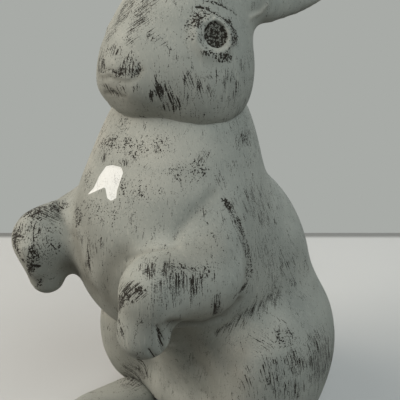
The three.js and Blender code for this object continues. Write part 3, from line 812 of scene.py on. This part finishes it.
def painted_casting():
    """Matt grey paint with dry-brushed strokes where the surface is soaked, painted highlights and painted
    shade, and a white chip.
    """
    shader = Shader("painted_casting")
    drag = shader.pattern(**DRAG)
    speck = shader.pattern(**SPECK)
    strokes, soaked = dry_brushing(shader, speck)

    cloud = shader.step(shader.pattern(**CLOUD), *CLOUD_EDGE)
    dragged = shader.math("MULTIPLY", shader.step(drag, *DRAG_EDGE), DRAG_COVER)
    # Painted highlight, broken up by the specks
    painted_highlight = shader.math("MULTIPLY", shader.attribute(PAINTED_HIGHLIGHT), speck)
    # Stains between the strokes, and painted shade
    stain_and_shade = shader.math("MAXIMUM", shader.math("MULTIPLY", soaked, STAIN_COVER), shader.attribute(PAINTED_SHADE))
    colour = shader.mix(cloud, linear(PAINT_DARK), linear(PAINT_LIGHT))
    colour = shader.mix(dragged, colour, linear(PALE_PAINT_AND_HIGHLIGHT_GREY))
    colour = shader.mix(painted_highlight, colour, linear(PALE_PAINT_AND_HIGHLIGHT_GREY))
    colour = shader.mix(stain_and_shade, colour, linear(STAIN_AND_SHADE_GREY))
    colour = shader.mix(shader.math("MULTIPLY", strokes, STROKE_COVER), colour, linear(WASH_BROWN))

    bare = shader.step(shader.attribute(CHIP), *CHIP_EDGE)
    white = shader.mix(drag, linear(CHIP_GREY), linear(CHIP_WHITE))
    colour = shader.mix(bare, colour, white)
    height = shader.math("SUBTRACT", shader.math("MULTIPLY", drag, DRAG_RELIEF), strokes)
    shader.set(Base_Color=colour, Roughness=PAINT_ROUGHNESS, Specular_IOR_Level=PAINT_GLOSS)
    shader.emboss(height, PAINT_RELIEF)
    return shader.material


def grained(name, pattern, colour, darkening, roughness, relief, metallic=0.0):
    """A finish whose colour and height follow one pattern."""
    shader = Shader(name)
    grain = shader.pattern(**pattern)
    shade = shader.mix(grain, linear(darker(colour, darkening)), linear(colour))
    shader.set(Base_Color=shade, Roughness=roughness, Metallic=metallic)
    shader.emboss(grain, relief)
    return shader.material


def felt():
    return grained("felt", FELT_FIBRES, FELT_GREY, darkening=14, roughness=1.0, relief=0.3 * MM)


def board():
    return grained("fibreboard", BOARD_FIBRES, BOARD_BROWN, darkening=26, roughness=0.9, relief=0.1 * MM)


def beech():
    return grained("beech", BEECH_GRAIN, BEECH_TAN, darkening=30, roughness=0.7, relief=0.05 * MM)


def steel():
    return grained(
        "drawn_steel", STEEL_LINES, STEEL_GREY, darkening=20, roughness=0.4, relief=0.02 * MM, metallic=1.0,
    )


# Stage

def make_lights():
    """Wide soft lamps, turned to the aim."""
    for name, (place, size, power, colour) in LAMPS.items():
        light = bpy.data.objects.new(name, bpy.data.lights.new(name, "AREA"))
        bpy.context.collection.objects.link(light)
        light.data.size = size
        light.data.energy = power
        light.data.color = colour
        light.location = place
        light.rotation_euler = (AIM - light.location).to_track_quat("-Z", "Y").to_euler()


def seen_rays(tree):
    """1 for rays by which something is seen, directly, in a reflection or through a piece."""
    path = tree.nodes.new("ShaderNodeLightPath")
    seen = path.outputs["Is Camera Ray"]
    for kind in ("Is Glossy Ray", "Is Transmission Ray"):
        either = tree.nodes.new("ShaderNodeMath")
        either.operation = "MAXIMUM"
        tree.links.new(seen, either.inputs[0])
        tree.links.new(path.outputs[kind], either.inputs[1])
        seen = either.outputs[0]
    return seen


def make_world():
    """Even white light, and a plain grey wall where the background is seen."""
    world = bpy.data.worlds.new("room")
    bpy.context.scene.world = world
    world.use_nodes = True
    nodes, links = world.node_tree.nodes, world.node_tree.links
    ambient = nodes["Background"]
    ambient.inputs["Color"].default_value = (1, 1, 1, 1)
    ambient.inputs["Strength"].default_value = AMBIENT
    wall = nodes.new("ShaderNodeBackground")
    wall.inputs["Color"].default_value = linear(WALL_GREY)
    mix = nodes.new("ShaderNodeMixShader")
    links.new(seen_rays(world.node_tree), mix.inputs[0])
    links.new(ambient.outputs[0], mix.inputs[1])
    links.new(wall.outputs[0], mix.inputs[2])
    links.new(mix.outputs[0], nodes["World Output"].inputs["Surface"])


def table_top():
    """Mottled white with a painted shadow along the far edge; it throws back less light than it shows."""
    shader = Shader("table_top")
    mottle = shader.pattern(**TABLE_MOTTLE)
    colour = shader.mix(mottle, linear(TABLE_WHITE), linear(darker(TABLE_WHITE, MOTTLE_STEPS)))
    depth = shader.add("SeparateXYZ", {0: shader.add("TexCoord").outputs["Object"]}).outputs["Y"]
    # Painted shadow along the far edge
    edge_shadow = shader.step(depth, TABLE_FAR - BAND_START, TABLE_FAR - BAND_FULL)
    colour = shader.mix(shader.math("MULTIPLY", edge_shadow, BAND_COVER), colour, linear(TABLE_EDGE_SHADOW))
    shown = shader.mix(seen_rays(shader.tree), linear(TABLE_BOUNCE), colour)
    shader.set(Base_Color=shown, Roughness=TABLE_ROUGHNESS, Specular_IOR_Level=TABLE_GLOSS)
    return shader.material


def make_table():
    """Table top whose far edge crosses the view behind the figure."""
    mesh = bpy.data.meshes.new("table")
    corners = [
        (-TABLE_SIDE, -TABLE_NEAR, 0), (TABLE_SIDE, -TABLE_NEAR, 0),
        (TABLE_SIDE, TABLE_FAR, 0), (-TABLE_SIDE, TABLE_FAR, 0),
    ]
    mesh.from_pydata(corners, [], [(0, 1, 2, 3)])
    table = bpy.data.objects.new("table", mesh)
    bpy.context.collection.objects.link(table)
    table.rotation_euler = (0, 0, VIEW_AZIMUTH)
    table.location = (AIM.x, AIM.y, 0)
    mesh.materials.append(table_top())


# Pieces

def finish_casting(casting, material):
    """Makes a painted piece of a casting, which stands for its CAD nodes."""
    mesh = casting.mesh
    mesh.update()
    for kind, values in casting.paint.items():
        layer = mesh.attributes.new(kind, "FLOAT", "POINT")
        layer.data.foreach_set("value", values.astype(np.float32))
    for kind, values in casting.ways.items():
        layer = mesh.attributes.new(kind + "_way", "FLOAT_VECTOR", "POINT")
        layer.data.foreach_set("vector", values.astype(np.float32).ravel())
    mesh.shade_smooth()
    mesh.materials.clear()
    mesh.materials.append(material)
    piece = bpy.data.objects.new(mesh.name, mesh)
    bpy.context.collection.objects.link(piece)
    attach(piece, "root")
    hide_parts(*casting.nodes)


def finish_nodes(material, *nodes):
    """Gives CAD nodes that stay as they are a finished material."""
    for node in nodes:
        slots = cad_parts[node].data.materials
        slots.clear()
        slots.append(material)


# The scene

camera = make_camera()
make_lights()
make_world()
make_table()
bpy.context.scene.view_settings.view_transform = "Standard"

# The castings, each with what fills its open side

body_lumps = [node_lump(node) for node in BODY_NODES] + [node_lump("base_plate", PLATE_LIFT)]
head_lumps = [node_lump(node) for node in HEAD_NODES] + [neck_plug()]
body = Casting("body_skin", BODY_NODES, body_lumps, BODY_VOXEL)
head = Casting("head_skin", HEAD_NODES, head_lumps, HEAD_VOXEL)
tail = Casting("tail_skin", ("tail",), [hull_lump(node_lump("tail")[0])], SMALL_VOXEL)
feet = [foot_casting("left_hind_foot"), foot_casting("right_hind_foot")]
castings = [body, head, tail, *feet]

# Their carving and paint

_, eye, _ = touch(*EYE_PIXEL)
far_eye = flipped(head, [eye])[0]
for lines in (FACE_LINES, HAND_LINES, BODY_LINES):
    cut_lines(lines)
cut_lines(FAR_LINES, both_sides=False)
carve_eye(head, eye)
head.refresh()
carve_eye(head, far_eye)
for patches in (FACE_STROKES, CHEST_STROKES, ARM_STROKES, LEG_STROKES):
    brush(patches)
brush(FAR_PAW_STROKES, both_sides=False)
for foot in feet:
    part_toes(foot)
ruffle(tail)
for casting in castings:
    brush_all_over(casting, UP, *ALL_OVER)
    brush_all_over(casting, LEFT, *OUT_OF_SIGHT, share=unseen(casting))
chip_paint(body)

# Finished pieces

grey = painted_casting()
for casting in castings:
    finish_casting(casting, grey)
finish_nodes(felt(), "left_front_pad", "right_front_pad", "left_rear_pad", "right_rear_pad")
finish_nodes(board(), "base_plate")
finish_nodes(
    beech(), "neck_dowel", "tail_peg", "left_forepaw_peg", "right_forepaw_peg",
    "left_foot_dowel", "right_foot_dowel",
)
finish_nodes(steel(), "left_ear_pin", "right_ear_pin")
